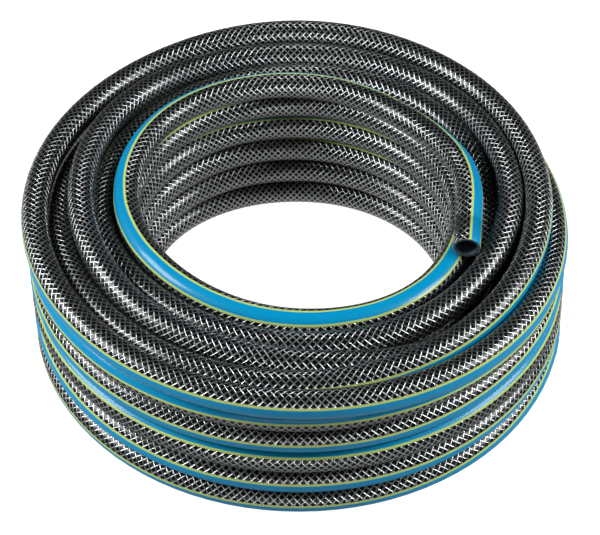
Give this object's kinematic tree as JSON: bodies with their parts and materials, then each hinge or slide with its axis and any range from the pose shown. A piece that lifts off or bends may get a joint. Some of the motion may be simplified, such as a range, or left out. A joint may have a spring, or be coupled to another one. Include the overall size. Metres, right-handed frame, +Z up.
{
  "type": "garden hose coil",
  "caption": "Braid-reinforced garden hose wound into a free-standing coil, with a clear cover, a blue stripe between lime lines, and both ends cut square and open.",
  "frame": {"origin": "on the floor, under the middle of the coil's box", "axes": "+Z up along the coil's axis; -Y is the front, and the open end of the rim points towards it"},
  "size_m": [0.33, 0.3258, 0.1083],
  "materials": {
    "hose": "glossy clear cover over a grey diamond braid",
    "inner_tube": "satin black",
    "yarn_braid": "light grey polyester yarn",
    "clear_cover": "clear, glossy",
    "blue_stripe": "glossy blue",
    "lime_lines": "glossy pale lime"
  },
  "bodies": {
    "root": {"coiled_hose": "hose", "end_a_inner_tube": "inner_tube", "end_a_yarn_braid": "yarn_braid", "end_a_clear_cover": "clear_cover", "end_a_blue_stripe": "blue_stripe", "end_a_lime_lines": "lime_lines", "end_b_inner_tube": "inner_tube", "end_b_yarn_braid": "yarn_braid", "end_b_clear_cover": "clear_cover", "end_b_blue_stripe": "blue_stripe", "end_b_lime_lines": "lime_lines"}
  },
  "joints": []
}
